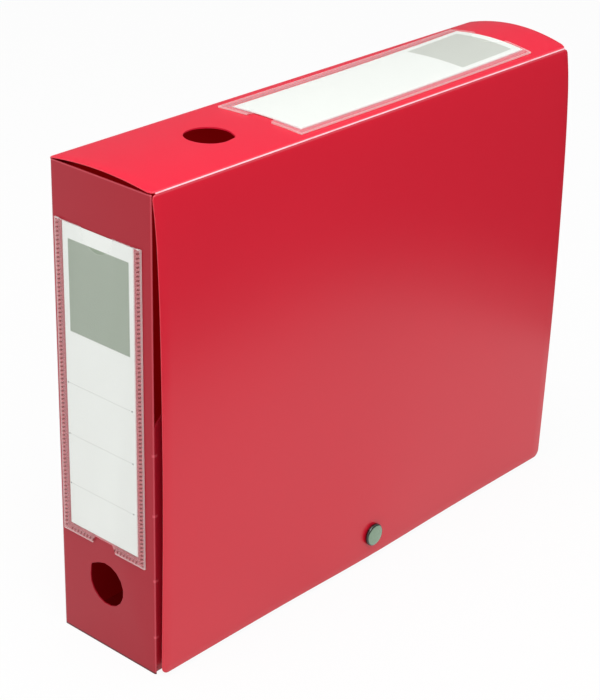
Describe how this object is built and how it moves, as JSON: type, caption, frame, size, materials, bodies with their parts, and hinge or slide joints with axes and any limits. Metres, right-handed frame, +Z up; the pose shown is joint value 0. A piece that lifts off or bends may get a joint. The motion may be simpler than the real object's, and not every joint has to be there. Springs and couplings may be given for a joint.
{
  "type": "box file",
  "caption": "Folded plastic sheet box file with bulged spine, bowed hinged cover, press stud, label pockets and drop-shaped finger holes.",
  "frame": {"origin": "centre of the case's footprint, on the underside of the bottom wall", "axes": "+X along the length, away from the labelled end wall; -Y towards the cover; +Z up to the spine"},
  "size_m": [0.3312, 0.0794, 0.2727],
  "materials": {
    "tray_sheet": "satin",
    "spine_sheet": "satin",
    "cover_sheet": "satin",
    "clear_film": "glossy, clear film",
    "label_card": "matt, printed",
    "stud_cap_metal": "dark plated, slightly brushed",
    "stud_metal": "plated"
  },
  "bodies": {
    "tray": {"tray": "tray_sheet", "end_label_pocket": "clear_film", "end_label": "label_card", "stud_knob": "stud_metal", "stud_rivet": "stud_metal"},
    "spine": {"spine_panel": "spine_sheet", "spine_label_pocket": "clear_film", "spine_label": "label_card"},
    "cover": {"cover_panel": "cover_sheet", "stud_cap": "stud_cap_metal", "stud_socket": "stud_metal"}
  },
  "joints": [
    {"name": "spine_fold", "type": "hinge", "parent": "tray", "child": "spine", "pos_m": [0, 0.0346, 0.2667], "axis": [-1, 0, 0], "range_deg": [0, 170]},
    {"name": "cover_fold", "type": "hinge", "parent": "spine", "child": "cover", "pos_m": [0, -0.0357, 0.2667], "axis": [-1, 0, 0], "range_deg": [0, 170]}
  ]
}
